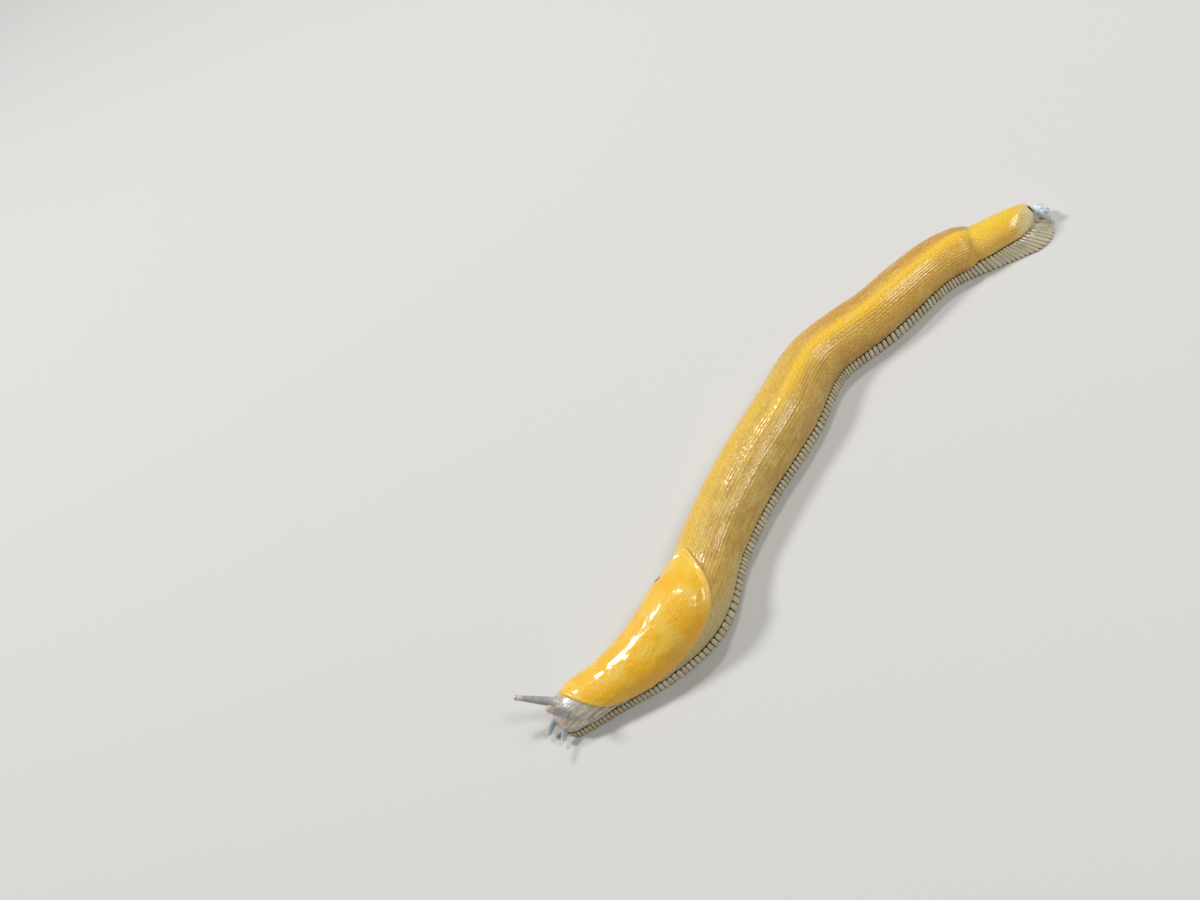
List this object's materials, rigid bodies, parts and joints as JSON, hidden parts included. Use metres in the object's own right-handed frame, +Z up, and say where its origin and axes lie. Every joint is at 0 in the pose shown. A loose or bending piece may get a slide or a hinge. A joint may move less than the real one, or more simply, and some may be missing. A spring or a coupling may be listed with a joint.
{
  "type": "banana slug",
  "caption": "Life-size still model of a yellow banana slug crawling at full stretch in a gentle S, feelers out, flat ribbed foot on the floor.",
  "frame": {"origin": "middle of the bounding box in X and Y, at the level of the sole", "axes": "+Z up; the head points towards -X and the tail towards +X, and the slug's own left side faces -Y"},
  "size_m": [0.2028, 0.0468, 0.0166],
  "materials": {
    "mantle": "wet gloss",
    "back": "wet satin",
    "head": "wet satin",
    "feeler": "wet satin",
    "eye": "wet gloss",
    "foot": "wet satin",
    "mucus": "clear gloss"
  },
  "bodies": {
    "root": {"head": "head", "neck": "head", "body_front": "back", "body_middle": "back", "body_rear": "back", "body_end": "back", "tail": "back", "mantle": "mantle", "foot_front": "foot", "foot_middle": "foot", "foot_rear": "foot", "foot_tail": "foot", "tentacle_upper_left": "feeler", "tentacle_upper_right": "feeler", "tentacle_lower_left": "feeler", "tentacle_lower_right": "feeler", "eye_left": "eye", "eye_right": "eye", "mucus_plug": "mucus"}
  },
  "joints": []
}
